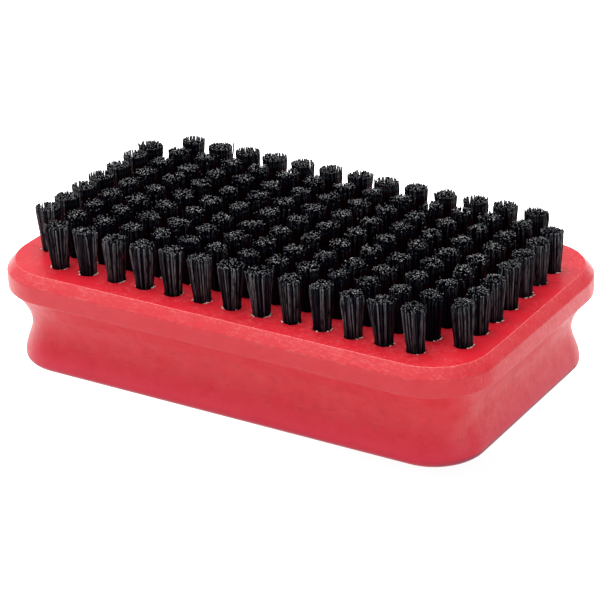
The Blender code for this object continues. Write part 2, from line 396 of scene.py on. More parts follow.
class Shader:
    """The node tree of one new material, or of the world."""

    def __init__(self, owner):
        self.owner = owner
        owner.use_nodes = True
        self.tree = owner.node_tree
        self.tree.nodes.clear()

    def node(self, kind, settings=None, inputs=None, output=0):
        made = self.tree.nodes.new(kind)
        for name, value in (settings or {}).items():
            setattr(made, name, value)
        for name, value in (inputs or {}).items():
            self.feed(made.inputs[name], value)
        return Wire(self, made.outputs[output])

    def feed(self, socket, value):
        if isinstance(value, Wire):
            self.tree.links.new(value.socket, socket)
        elif hasattr(socket.default_value, "__len__") and len(socket.default_value) == 4:
            socket.default_value = (*value, 1.0)
        else:
            socket.default_value = value

    def millimetres(self, stretch=(1.0, 1.0, 1.0)):
        """The point on the object in millimetres, with each axis scaled by stretch."""
        place = self.node("ShaderNodeTexCoord", output="Object")
        scale = tuple(side / MM for side in stretch)
        return self.node("ShaderNodeMapping", {}, {"Vector": place, "Scale": scale})

    def axes(self, vector):
        """The X, Y and Z of a vector."""
        return [self.node("ShaderNodeSeparateXYZ", {}, {"Vector": vector}, output=axis) for axis in "XYZ"]

    def noise(self, place, scale, detail=2.0, roughness=0.5):
        inputs = {"Vector": place, "Scale": scale, "Detail": detail, "Roughness": roughness}
        return self.node("ShaderNodeTexNoise", {}, inputs)

    def attribute(self, name):
        return self.node("ShaderNodeAttribute", {"attribute_name": name}, output="Fac")

    def rays(self):
        """Whether a ray comes straight from the camera, through glass or from a gloss, each 1 or 0."""
        kinds = ("Camera", "Transmission", "Glossy")
        return [self.node("ShaderNodeLightPath", output=f"Is {kind} Ray") for kind in kinds]

    def mix(self, amount, first, second):
        """A colour between two others, by the node's colour sockets."""
        return self.node("ShaderNodeMix", {"data_type": "RGBA"}, {0: amount, 6: first, 7: second}, output=2)

    def bump(self, height, strength, distance):
        inputs = {"Height": height, "Strength": strength, "Distance": distance}
        return self.node("ShaderNodeBump", {}, inputs)

    def finish(self, surface, kind="ShaderNodeOutputMaterial"):
        output = self.tree.nodes.new(kind)
        self.tree.links.new(surface.socket, output.inputs["Surface"])
        return self.owner


def stained_beech(name, finish):
    """Red stain and satin lacquer on beech, thin on sanded edges and gone where the drill tore the wood, with
    painted highlights on the lip and the top edge and painted shade between the inner tufts and along the
    foot.
    """
    shader = Shader(bpy.data.materials.new(name))
    even = shader.millimetres()
    along = shader.millimetres((0.10, 1.0, 1.0))
    upright = shader.millimetres((1.0, 1.0, 0.22))

    # Parts of the block, told apart by where they face and by how worn they are
    along_x, along_y, along_z = shader.axes(shader.node("ShaderNodeNewGeometry", output="Normal"))
    end_share = along_x * along_x / (along_x * along_x + along_y * along_y + 0.02)
    end_grain = end_share.between(0.35, 0.75)
    top = along_z.between(0.85, 0.98)
    back = along_z.between(-0.80, -0.97)
    height = shader.axes(even)[2]
    # Where the painted shade lies on the rounded lower edge
    foot_shade_mask = height.between(*FOOT_SHADE_BAND) * along_z.between(-0.86, -0.70)
    worn = shader.attribute("worn")
    torn = shader.attribute("torn")
    shaded = shader.attribute("shaded")
    rim = (worn * (1.0 / RIM_WEAR)).clamped()
    chamfer = ((worn - RIM_WEAR) * 40.0).clamped() * (1.0 - top)

    # The wood's pattern, from broad clouds to fine grit
    cloud = shader.noise(even, scale=0.09, detail=3.0, roughness=0.6)
    blotches = shader.noise(even, scale=0.15, detail=4.0, roughness=0.6)
    patches = shader.noise(even, scale=0.20, detail=4.0, roughness=0.62)
    mottle = shader.noise(even, scale=0.42, detail=4.0, roughness=0.65)
    tears = shader.noise(even, scale=0.9, detail=2.0, roughness=0.6)
    scuffs = shader.noise(even, scale=1.3, detail=5.0, roughness=0.8)
    grit = shader.noise(even, scale=1.5, detail=4.0, roughness=0.75)
    fibre = shader.noise(along, scale=2.6, detail=3.0, roughness=0.6)
    pores = shader.noise(along, scale=3.4, detail=1.0).between(0.62, 0.70) * (1.0 - end_grain)
    scratches = shader.noise(shader.millimetres((0.30, 1.0, 1.0)), scale=2.2, detail=4.0, roughness=0.75)
    end_lines = shader.noise(upright, scale=3.0, detail=2.0, roughness=0.6)
    end_pores = end_lines.between(0.58, 0.66) * end_grain * cloud.between(0.35, 0.60)
    end_ridges = end_lines.between(0.48, 0.34) * end_share.between(0.50, 1.0)

    # The stain, dark in the fibres and thin in patches. The bristle face gets less of the dark mottle and the
    # thin stain, so it is brighter and deeper red, partly a painted light from above
    thin = 1.0 - top * 0.7
    tone = shader.mix(fibre.between(0.30, 0.70) * (0.15 + back * 0.45), finish.stain, finish.dark_stain)
    tone = shader.mix(mottle.between(0.42, 0.70) * (0.36 - top * 0.24), tone, finish.dark_stain)
    tone = shader.mix(patches.between(0.40, 0.62) * thin * 0.34, tone, finish.thin_stain)
    tone = shader.mix(cloud.between(0.35, 0.65) * thin * 0.24, tone, finish.thin_stain)
    tone = shader.mix(pores * (0.45 + back * 0.35), tone, finish.dark_stain)
    tone = shader.mix(chamfer * 0.30, tone, finish.dark_stain)

    # End grain, and the rim and chamfer that cut through it
    blotch = blotches.between(0.40, 0.62) * (0.10 + end_grain * 0.90) * (1.0 - rim)
    tone = shader.mix(blotch * 0.15, tone, finish.light_stain)
    tone = shader.mix(end_pores * 0.50, tone, finish.dark_stain)
    # The rim and chamfer band get thinner stain: partly wear, partly a painted reflection of the white floor
    rubbed_rim_and_sheen = rim * (1.0 - top) * (1.0 - end_grain * (0.5 + chamfer * 0.5))
    tone = shader.mix(rubbed_rim_and_sheen * 0.50, tone, finish.thin_stain)
    tone = shader.mix(end_ridges * (1.0 - chamfer) * (0.06 + rim * 0.28), tone, finish.light_stain)
    sanded = chamfer * (1.0 - end_grain * 0.5) * patches.between(0.36, 0.56)
    tone = shader.mix(scratches.between(0.44, 0.64) * sanded * 0.24, tone, finish.light_stain)

    # The bristle face, with painted shade between the inner tufts, and the bluer foot with painted shade
    # along its lowest edge
    tone = shader.mix(shaded * top * 0.45, tone, finish.painted_field_shade)
    flecked = top * cloud.between(0.36, 0.54) * (1.0 - shaded * 0.5)
    tone = shader.mix(grit.between(0.51, 0.64) * flecked * 0.26, tone, finish.light_stain)
    tone = shader.mix(grit.between(0.50, 0.38) * flecked * 0.40, tone, finish.dark_stain)
    tone = shader.mix(height.between(*COOL_BAND) * (0.75 - back * 0.40), tone, finish.bluer_foot_tone)
    tone = shader.mix(foot_shade_mask * (0.12 + end_share * 0.80), tone, finish.painted_foot_shade)

    # Worn edges with painted highlight lines on the lip and the top edge, and bare wood where the drill tore
    # it
    rubbed_and_highlit = (worn + scuffs * 2.4 - 1.7).between(0.0, 0.6) * (0.25 + worn * 0.75)
    tone = shader.mix(rubbed_and_highlit, tone, finish.light_stain)
    bare = (torn + tears - 1.0).between(0.51, 0.65)
    tone = shader.mix(bare, tone, finish.bare_beech)

    grain_relief = fibre * 0.4 + mottle * 0.5 + grit * 0.4 + pores * -0.7
    relief = grain_relief + end_lines * end_grain * -0.6 + bare * -1.0
    inputs = {
        "Base Color": tone,
        "Roughness": finish.roughness + (mottle - 0.5) * 0.30 + end_pores * 0.2 + bare * 0.35,
        "Specular IOR Level": finish.gloss,
        "Normal": shader.bump(relief, strength=0.5, distance=GRAIN_DEPTH),
    }
    return shader.finish(shader.node("ShaderNodeBsdfPrincipled", {}, inputs))


def bare_beech(name, finish):
    """Raw wood of the slivers that stand round the holes."""
    shader = Shader(bpy.data.materials.new(name))
    fibre = shader.noise(shader.millimetres(), scale=4.0)
    tone = shader.mix(fibre.between(0.4, 0.7) * 0.5, finish.bare_beech, finish.light_stain)
    inputs = {"Base Color": tone, "Roughness": 0.6 + fibre * 0.2}
    return shader.finish(shader.node("ShaderNodeBsdfPrincipled", {}, inputs))


def black_nylon(name, sizes):
    """Drawn black filament, glossy along its side, with painted light and sheen streaks on its sides, and
    pale where it is cut.
    """
    shader = Shader(bpy.data.materials.new(name))
    cut = shader.attribute("cut")
    shade = shader.attribute("shade")
    # A noise that only roughens the filaments
    dust_and_painted_light = shader.noise(shader.millimetres(), scale=2.5, detail=1.0)
    streaks = shader.noise(shader.millimetres((1.0, 1.0, 0.25)), scale=1.6)
    side = shader.mix(shade * streaks.between(0.25, 0.60), sizes.nylon, sizes.painted_light_nylon)
    tip = shader.mix(shade, sizes.nylon, sizes.cut_nylon)
    inputs = {
        "Base Color": shader.mix(cut, side, tip),
        "Roughness": 0.36 + shade * 0.12 + dust_and_painted_light * 0.06,
        "Specular IOR Level": sizes.sheen,
    }
    return shader.finish(shader.node("ShaderNodeBsdfPrincipled", {}, inputs))


def anchor_wire(name):
    """Flat drawn steel wire."""
    shader = Shader(bpy.data.materials.new(name))
    drawn = shader.noise(shader.millimetres((1.0, 0.1, 1.0)), scale=6.0)
    tone = shader.mix(drawn, DARK_WIRE, BRIGHT_WIRE)
    inputs = {"Base Color": tone, "Metallic": 1.0, "Roughness": 0.28 + drawn * 0.2}
    return shader.finish(shader.node("ShaderNodeBsdfPrincipled", {}, inputs))


def tuft_rows(row_pitch):
    """(row name, [(x, y) of each tuft]) for each row across the brush, read from the frame's anchors."""
    rows = []
    for name in ROW_NAMES:
        low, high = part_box(name.replace("bristle", "anchor"))
        number = round((high[1] - low[1]) / row_pitch)
        x = (low[0] + high[0]) / 2
        first = (low[1] + high[1]) / 2 - (number - 1) / 2 * row_pitch
        rows.append((name, [(x, first + step * row_pitch) for step in range(number)]))
    return rows


def way_out(name, index, places):
    """The way out of the whole field of tufts for a tuft at its edge, and a zero vector for one inside."""
    along = (name == ROW_NAMES[-1]) - (name == ROW_NAMES[0])
    aside = (index == len(places) - 1) - (index == 0)
    return Vector((along, aside, 0.0))


def add_mesh(name, bm):
    """A new mesh of these faces, which frees them."""
    mesh = bpy.data.meshes.new(name)
    bm.to_mesh(mesh)
    bm.free()
    return mesh


def add_object(name, data):
    """A new object in the scene, of this mesh, lamp or camera."""
    obj = bpy.data.objects.new(name, data)
    bpy.context.scene.collection.objects.link(obj)
    return obj


def add_piece(name, bm, material):
    """A new object of these faces that rides on the brush."""
    mesh = add_mesh(name, bm)
    mesh.materials.append(material)
    piece = add_object(name, mesh)
    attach(piece, "root")
    return piece


def round_corner(before, corner, after, softness):
    """Points of a soft curve that replaces a profile's corner."""
    start = corner + (before - corner).normalized() * softness
    end = corner + (after - corner).normalized() * softness
    points = []
    for step in range(EDGE_STEPS + 1):
        way = step / EDGE_STEPS
        points.append(start.lerp(corner, way).lerp(corner.lerp(end, way), way))
    return points


def side_profile(sizes):
    """(inset, height) points up the block's side, from the flat back to the bristle face."""
    rim_top = FACE_HEIGHT - sizes.chamfer_height
    lip = rim_top - sizes.rim_height
    points = []
    for step in range(1, BACK_STEPS + 1):
        turn = step / BACK_STEPS * math.pi / 2
        inset = sizes.base_inset + sizes.back_rounding * (1 - math.sin(turn))
        points.append(Vector((inset, sizes.back_height * (1 - math.cos(turn)))))
    for step in range(1, GROOVE_STEPS + 1):
        ease = (1 - math.cos(step / GROOVE_STEPS * math.pi)) / 2
        inset = sizes.base_inset + (sizes.neck_inset - sizes.base_inset) * ease
        height = sizes.back_height + (sizes.neck_height - sizes.back_height) * step / GROOVE_STEPS
        points.append(Vector((inset, height)))
    for step in range(1, GROOVE_STEPS + 1):
        turn = step / GROOVE_STEPS * math.pi / 2
        inset = sizes.groove_start + (sizes.neck_inset - sizes.groove_start) * math.cos(turn)
        points.append(Vector((inset, sizes.neck_height + (lip - sizes.neck_height) * step / GROOVE_STEPS)))
    for step in range(LIP_STEPS + 1):
        turn = step / LIP_STEPS * math.pi / 2
        inset = sizes.lip_radius * (1 - math.sin(turn))
        points.append(Vector((inset, lip + sizes.lip_radius * (1 - math.cos(turn)))))
    rim = Vector((0.0, rim_top))
    edge = Vector((sizes.chamfer_width, FACE_HEIGHT))
    inner = Vector((sizes.chamfer_width * 2, FACE_HEIGHT))
    points += round_corner(points[-1], rim, edge, sizes.rim_edge_softness)
    points += round_corner(rim, edge, inner, sizes.top_edge_softness)
    return points


def side_wear_and_highlight(sizes, inset, height):
    """How worn the stain is at this point of the side's profile, with the painted highlight lines on the lip
    and the top edge.
    """
    chamfer_foot = FACE_HEIGHT - sizes.chamfer_height
    climb = max(0.0, (height - chamfer_foot) / sizes.chamfer_height)
    lip_climb = (height - chamfer_foot + sizes.rim_height) / sizes.lip_radius
    on_edge = max(0.0, 1 - abs(inset - sizes.chamfer_width) / sizes.top_edge_softness)
    on_foot = max(0.0, 1 - abs(height - chamfer_foot) / sizes.rim_edge_softness)
    wear = RIM_WEAR if lip_climb > RIM_START else 0.0
    wear += LIP_HIGHLIGHT if LIP_BAND[0] < lip_climb < LIP_BAND[1] else 0.0
    wear += CHAMFER_FOOT_WEAR * on_foot
    return wear + CHAMFER_WEAR * climb + TOP_EDGE_WEAR_AND_HIGHLIGHT * on_edge * climb


def block_outline(bm, sizes):
    """Makes the rounded outline as one face, and notes each vertex's place and its way in from there."""
    half_x = (BLOCK_HIGH[0] - BLOCK_LOW[0]) / 2
    half_y = (BLOCK_HIGH[1] - BLOCK_LOW[1]) / 2
    radius = sizes.corner_radius
    bmesh.ops.create_grid(bm, x_segments=1, y_segments=1, size=1.0)
    bmesh.ops.scale(bm, vec=(half_x, half_y, 1.0), verts=bm.verts)
    bmesh.ops.bevel(
        bm, geom=bm.verts[:], offset=radius, affect="VERTICES", segments=CORNER_SEGMENTS, profile=0.5,
        material=-1,
    )
    straight = [edge for edge in bm.edges if edge.calc_length() > radius]
    bmesh.ops.subdivide_edges(bm, edges=straight, cuts=STRAIGHT_CUTS)
    outline = bm.verts.layers.float_vector.new("outline")
    inward = bm.verts.layers.float_vector.new("inward")
    for vert in bm.verts:
        x, y, _ = vert.co
        past = Vector((max(abs(x) - half_x + radius, 0.0), max(abs(y) - half_y + radius, 0.0), 0.0))
        past = past.normalized()
        vert[outline] = vert.co
        vert[inward] = Vector((-math.copysign(past.x, x), -math.copysign(past.y, y), 0.0))


def pull_ring(bm, edges):
    """Extrudes a closed loop of edges, and returns the new edges and corners, still in place."""
    made = bmesh.ops.extrude_edge_only(bm, edges=edges)["geom"]
    corners = [item for item in made if isinstance(item, bmesh.types.BMVert)]
    kept = set(corners)
    pulled = [item for item in made if isinstance(item, bmesh.types.BMEdge)]
    return [edge for edge in pulled if kept.issuperset(edge.verts)], corners


def place_ring(bm, corners, inset, height, wear=0.0, tear=0.0, wobble=0.0):
    """Moves corners in from their outline and up to a height, and marks their wear and painted highlight and
    how torn they are.
    """
    outline = bm.verts.layers.float_vector["outline"]
    inward = bm.verts.layers.float_vector["inward"]
    worn = bm.verts.layers.float["worn"]
    torn = bm.verts.layers.float["torn"]
    for vert in corners:
        spot = vert[outline] / SANDING_WAVE
        drift = wobble * (noise.noise(spot) + RIPPLE_SHARE * noise.noise(spot * RIPPLES))
        vert.co = vert[outline] + vert[inward] * max(inset + drift, 0.0)
        vert.co.z = height
        vert[worn] = wear
        vert[torn] = tear


def raise_side(bm, sizes):
    """Pulls the outline up the block's side and onto the bristle face, and returns the last loop of edges."""
    place_ring(bm, bm.verts, sizes.base_inset + sizes.back_rounding, 0.0)
    edges = list(bm.edges)
    chamfer_foot = FACE_HEIGHT - sizes.chamfer_height
    for inset, height in side_profile(sizes):
        edges, corners = pull_ring(bm, edges)
        wobble = sizes.sanding_wobble * max(0.0, (height - chamfer_foot) / sizes.chamfer_height)
        place_ring(bm, corners, inset, height, wear=side_wear_and_highlight(sizes, inset, height), wobble=wobble)
    for margin, wear in FACE_RINGS:
        edges, corners = pull_ring(bm, edges)
        inset = sizes.chamfer_width + margin
        place_ring(bm, corners, inset, FACE_HEIGHT, wear=wear, wobble=sizes.sanding_wobble)
    for face in bm.faces:
        face.smooth = True
    return edges


def mark_holes(bm, sizes):
    """Draws the uneven rim of each tuft hole on the bristle face, and returns the edges of them all."""
    outline = bm.verts.layers.float_vector["outline"]
    inward = bm.verts.layers.float_vector["inward"]
    shaded = bm.verts.layers.float["shaded"]
    chance = random.Random(HOLE_SEED)
    radius = sizes.hole_diameter / 2
    rims = []
    for name, places in tuft_rows(sizes.row_pitch):
        for index, (x, y) in enumerate(places):
            centre = Vector((x, y, FACE_HEIGHT))
            made = bmesh.ops.create_circle(
                bm, segments=HOLE_SEGMENTS, radius=radius, matrix=Matrix.Translation(centre)
            )
            for vert in made["verts"]:
                # Round the holes of the inner tufts the bristle face gets painted shade
                vert[shaded] = 0.0 if way_out(name, index, places).length else 1.0
                vert[outline] = centre
                vert[inward] = (vert.co - centre).normalized() * chance.uniform(*TORN_UNEVENNESS)
            # Each edge once, always in the same order
            rims += dict.fromkeys(edge for vert in made["verts"] for edge in vert.link_edges)
    place_ring(bm, {vert for edge in rims for vert in edge.verts}, radius + TORN_MARGIN, FACE_HEIGHT)
    return rims


def make_block(sizes, finish):
    """The beech block, pulled up ring by ring from its outline, with a round blind hole under each tuft."""
    bm = bmesh.new()
    block_outline(bm, sizes)
    for name in ("worn", "torn", "shaded"):
        bm.verts.layers.float.new(name)
    face_edges = raise_side(bm, sizes)
    edges = mark_holes(bm, sizes)
    bmesh.ops.triangle_fill(bm, use_beauty=True, edges=face_edges + edges, normal=Vector((0.0, 0.0, 1.0)))
    before = set(bm.faces)
    for wider, depth, tear in HOLE_RINGS:
        edges, corners = pull_ring(bm, edges)
        place_ring(bm, corners, sizes.hole_diameter / 2 + wider, FACE_HEIGHT - depth, tear=tear)
    for face in set(bm.faces) - before:
        face.smooth = True
    bmesh.ops.holes_fill(bm, edges=edges, sides=0)
    bmesh.ops.recalc_face_normals(bm, faces=bm.faces)
    for name in ("outline", "inward"):
        layers = bm.verts.layers.float_vector
        layers.remove(layers[name])
    block = add_piece("stained_block", bm, stained_beech("stained beech", finish))
    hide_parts("block")


def strand_mesh():
    """One straight filament of unit radius, with a ring of corners at each of its levels."""
    bm = bmesh.new()
    bmesh.ops.create_circle(bm, cap_ends=True, segments=STRAND_SIDES, radius=1.0)
    bmesh.ops.translate(bm, vec=(0.0, 0.0, STRAND_LEVELS[0]), verts=bm.verts)
    cap = list(bm.faces)
    for low, high in zip(STRAND_LEVELS, STRAND_LEVELS[1:]):
        keep_root = low == STRAND_LEVELS[0]
        made = bmesh.ops.extrude_face_region(bm, geom=cap, use_keep_orig=keep_root)["geom"]
        corners = [item for item in made if isinstance(item, bmesh.types.BMVert)]
        cap = [item for item in made if isinstance(item, bmesh.types.BMFace)]
        bmesh.ops.translate(bm, vec=(0.0, 0.0, high - low), verts=corners)
    for face in bm.faces:
        face.smooth = abs(face.normal.z) < 0.5
    bmesh.ops.recalc_face_normals(bm, faces=bm.faces)
    return add_mesh("strand", bm)


class InnerTuft:
    """Factors on the sizes and shades above for a tuft inside the field: narrow, rough and clumped."""

    shell = 1.0
    scatter = 1.0
    spread = 0.6
    splay = (0.65, 1.15)
    lean = 1.0
    parting = 1.0
    hook = 0.3
    curl = 1.0
    dome = 0.6
    lift = 1.0
    unevenness = 0.9
    clumping = 0.7
    wander = 2.0
    stray = 3.5
    widening = 0.15
    tip_shade = 1.20
    rim_shade = 0.75


class EdgeTuft(InnerTuft):
    """A tuft at the edge of the field, which flares out freely."""

    spread = 1.0
    hook = 1.0
    curl = 0.6
    dome = 1.0
    clumping = 0.35
    wander = 1.6
    stray = 1.0
    tip_shade = 0.95
    rim_shade = 0.5


class LevelTuft(EdgeTuft):
    """An edge tuft with more filaments round its outside, and cut level."""

    shell = 1.5
    scatter = 0.7
    splay = (0.90, 1.10)
    curl = 0.7 * EdgeTuft.curl
    lift = 0.4
    unevenness = 0.3
    clumping = 0.15
    wander = 0.7
    widening = 0.22


class UprightTuft(LevelTuft):
    """A level tuft at the left, which also stands straight and isn't split."""

    scatter = 0.35
    lean = 0.3
    parting = 0.0
    curl = 0.35 * EdgeTuft.curl
    wander = 0.35


def manner_of(x, y, way):
    """Which of these manners a tuft has, by its place and its way out of the field."""
    if not way.length:
        return InnerTuft
    if y <= 0 and x >= LEFT_END:
        return EdgeTuft
    return UprightTuft if x < 0 else LevelTuft


def flat_jitter(chance, spread=1):
    """A chance step in the plane of the bristle face."""
    return Vector((chance.gauss(0, spread), chance.gauss(0, spread), 0.0))


class Tuft:
    """The chance details that one tuft's filaments share."""

    def __init__(self, x, y, way, sizes, chance):
        manner = manner_of(x, y, way)
        self.manner = manner
        self.way_out = way
        self.centre = Vector((x, y, 0.0))
        self.shell = round(sizes.shell_filaments * manner.shell)
        self.turn = chance.uniform(0, math.tau)
        self.lean = flat_jitter(chance, LEAN_SPREAD) * sizes.tuft_lean
        if way.y < 0:
            self.lean.x -= sizes.tuft_lean
        self.lean = self.lean * manner.lean
        right = 0.5 + x / (BLOCK_HIGH[0] - BLOCK_LOW[0])
        back = 0.5 + y / (BLOCK_HIGH[1] - BLOCK_LOW[1])
        # The tips close in most at the far right, where the brush is most used
        closed = right * (FRONT_SHARE + (1.0 - FRONT_SHARE) * max(back, right ** 2))
        self.closed = min(max(closed + chance.gauss(0, CLOSED_SPREAD), 0.0), 1.0)
        # Painted light on the lit filaments' sides, stronger at the left end
        self.dust_and_painted_light = LEFT_PAINTED_LIGHT - PAINTED_LIGHT_LOSS * right
        self.spread = sizes.tip_spread * self.closing(SPREAD_CLOSING) * chance.uniform(*SPREAD_RANGE)
        self.spread *= manner.spread
        self.bow = sizes.bow * chance.uniform(*BOW_RANGE)
        hook = self.closing(HOOK_CLOSING) + chance.gauss(0, CLOSING_SPREAD)
        self.hook = sizes.hook * hook * manner.hook
        dome = self.closing(DOME_CLOSING) + chance.gauss(0, CLOSING_SPREAD)
        self.dome = sizes.dome * dome * manner.dome
        self.tilt = flat_jitter(chance, TILT_SPREAD)
        heading = chance.gauss(0, PARTING_TURN_SPREAD)
        self.parting = Vector((math.cos(heading), math.sin(heading), 0.0)) * chance.choice((-1, 1))
        self.parting_place = sizes.root_radius * chance.uniform(*PARTING_PLACE)
        self.parting_width = sizes.parting * max(0.0, chance.uniform(*PARTING_RANGE)) * manner.parting
        self.clumps = [self.clump(sizes, chance) for _ in range(chance.randrange(*CLUMPS))]

    def closing(self, start_and_gain):
        """The start of a factor, plus its gain in step with how far the tips close in."""
        start, gain = start_and_gain
        return start + gain * self.closed

    @staticmethod
    def clump(sizes, chance):
        """(middle, glow, lift) of a clump that filaments near it draw together into."""
        heading = chance.uniform(0, math.tau)
        out = sizes.root_radius * math.sqrt(chance.random())
        glow = chance.uniform(*GLOW_RANGE)
        lift = chance.gauss(0, LIFT_SPREAD) * sizes.height_jitter
        return Vector((math.cos(heading) * out, math.sin(heading) * out, 0.0)), glow, lift


class Filament:
    """One filament's way up through its tuft, with its thickness and its shades."""

    def __init__(self, tuft, number, sizes, chance):
        manner = tuft.manner
        core = sizes.filaments - tuft.shell
        if number < core:
            fill = CORE_REACH * math.sqrt((number + 0.5) / core)
            turn = number * math.pi * GOLDEN_TURN + tuft.turn + chance.uniform(*CORE_TURN_RANGE)
            self.side_shade = CORE_SHADE * chance.random()
        else:
            fill = 1.0
            turn = (number - core) / tuft.shell * math.tau + tuft.turn
            turn += chance.gauss(0, SHELL_TURN_SPREAD) * manner.scatter
            self.side_shade = chance.choice(SHELL_SHADES)
        outward = Vector((math.cos(turn), math.sin(turn), 0.0))
        self.tuft = tuft
        self.lit = tuft.way_out.length > 0 and outward.dot(tuft.way_out) > LIT_LIMIT
        self.base = outward * (sizes.root_radius - sizes.filament_diameter / 2) * fill
        stray = sizes.stray_reach if chance.random() < sizes.stray_share * manner.stray else 0.0
        middle, glow, lift = min(tuft.clumps, key=lambda clump: (clump[0] - self.base).length)

        tip = self.base.lerp(middle, sizes.clumping * manner.clumping)
        splay = chance.uniform(*manner.splay)
        tip += tip / sizes.root_radius * tuft.spread * splay + outward * stray + tuft.lean
        if self.base.dot(tuft.parting) > tuft.parting_place:
            tip += tuft.parting * tuft.parting_width
        self.tip = tip + flat_jitter(chance) * (sizes.tip_jitter * manner.wander)
        self.bow = outward * tuft.bow * fill * chance.uniform(*FILAMENT_BOW_RANGE)
        self.bow += flat_jitter(chance) * sizes.tip_jitter * BOW_JITTER
        self.hook = outward * tuft.hook * fill ** 2 * chance.choice(HOOK_SHARES)
        self.hook += flat_jitter(chance) * sizes.curl * manner.curl

        cut = sizes.height_jitter * (LEAST_CUT + manner.unevenness * abs(chance.gauss(0, 1)))
        top = TIP_HEIGHT - cut + lift * manner.lift
        if manner is InnerTuft and fill > SUNK_START:
            top -= chance.choice(SUNK_SHARES) * sizes.dome
        self.top = min(top - tuft.dome * fill ** 2 + self.base.dot(tuft.tilt), TIP_HEIGHT - TIP_GAP)
        self.tip_shade = chance.choice(TIP_SHADES) * glow
        self.tip_shade *= manner.tip_shade - manner.rim_shade * fill ** 3
        self.radius = sizes.filament_diameter / 2 * chance.uniform(*THICKNESS_RANGE)

    def spine(self, level):
        """The middle of the filament at one of a strand's levels."""
        way = max(level, 0.0)
        bend = max(0.0, way - BEND_START) / BEND_LENGTH
        spot = self.tuft.centre + self.base.lerp(self.tip, way)
        spot = spot + self.bow * math.sin(math.pi * way) - self.hook * bend ** 2
        rise = self.top - FACE_HEIGHT if level > 0 else FACE_HEIGHT - ANCHOR_HIGH[2]
        spot.z = FACE_HEIGHT + rise * level - BEND_DROP * self.hook.length * bend ** 2
        return spot

    def ring(self, level):
        """The middle of the ring at this level, and its two radii."""
        ahead = (self.spine(level + STEP_AHEAD) - self.spine(level - STEP_AHEAD)).normalized()
        across = Vector((1.0, 0.0, 0.0)) - ahead * ahead.x
        aside = ahead.cross(across).normalized() * self.radius
        return self.spine(level), across.normalized() * self.radius, aside

    def shade(self, level):
        """How pale the filament is at this level: at its cut end, or on its side, where painted light
        brightens the lit filaments towards the tips and at the left end, and painted shade darkens the others
        and the roots.
        """
        if level == 1:
            return self.tip_shade
        way = max(level, 0.0)
        if self.lit:
            dust_and_painted_light = self.tuft.dust_and_painted_light * (ROOT_PAINTED_LIGHT + (1.0 - ROOT_PAINTED_LIGHT) * min(way / PAINTED_LIGHT_LEVEL, 1.0))
        else:
            dust_and_painted_light = self.tuft.closing(HIDDEN_PAINTED_LIGHT) * way ** HIDDEN_FADE
        return self.side_shade * dust_and_painted_light


def bend_strand(corners, filament, cut, shade):
    """Moves one straight strand's corners onto its filament, and marks its cut end and its shades."""
    rings = {}
    for vert in corners:
        u, v, level = vert.co
        if level not in rings:
            rings[level] = filament.ring(level)
        middle, across, aside = rings[level]
        wide = TIP_NARROWING if level == 1 else 1.0 + filament.tuft.manner.widening * max(level, 0.0)
        vert.co = middle + (across * u + aside * v) * wide
        vert.co.z = min(vert.co.z, TIP_HEIGHT)
        vert[cut] = 1.0 if level == 1 else 0.0
        vert[shade] = filament.shade(level)


def make_tufts(block, sizes):
    """Each row's tufts, filament by filament."""
    material = black_nylon("black nylon", sizes)
    strand = strand_mesh()
    each = len(strand.vertices)
    chance = random.Random(TUFT_SEED)
    for name, places in tuft_rows(block.row_pitch):
        bm = bmesh.new()
        cut = bm.verts.layers.float.new("cut")
        shade = bm.verts.layers.float.new("shade")
        for _ in range(len(places) * sizes.filaments):
            bm.from_mesh(strand)
        corners = list(bm.verts)
        for index, (x, y) in enumerate(places):
            tuft = Tuft(x, y, way_out(name, index, places), sizes, chance)
            for number in range(sizes.filaments):
                start = (index * sizes.filaments + number) * each
                filament = Filament(tuft, number, sizes, chance)
                bend_strand(corners[start:start + each], filament, cut, shade)
        piece = add_piece(name.replace("bristle", "nylon_tufts"), bm, material)
        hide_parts(name)
    bpy.data.meshes.remove(strand)


def make_anchors(block):
    """The separate flat wire anchor across the bottom of each hole."""
    material = anchor_wire("anchor wire")
    thickness = ANCHOR_HIGH[0] - ANCHOR_LOW[0]
    height = ANCHOR_HIGH[2] - ANCHOR_LOW[2]
    for name, places in tuft_rows(block.row_pitch):
        bm = bmesh.new()
        for x, y in places:
            centre = Matrix.Translation((x, y, (ANCHOR_LOW[2] + ANCHOR_HIGH[2]) / 2))
            size = Matrix.Diagonal((thickness, block.hole_diameter, height, 1.0))
            bmesh.ops.create_cube(bm, size=1.0, matrix=centre @ size)
        bmesh.ops.bevel(
            bm, geom=bm.edges[:], offset=thickness / 6, affect="EDGES", segments=2, profile=0.5, material=-1
        )
        number = name[-2:]
        piece = add_piece(f"wire_anchors_row_{number}", bm, material)
        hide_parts(f"anchor_row_{number}")


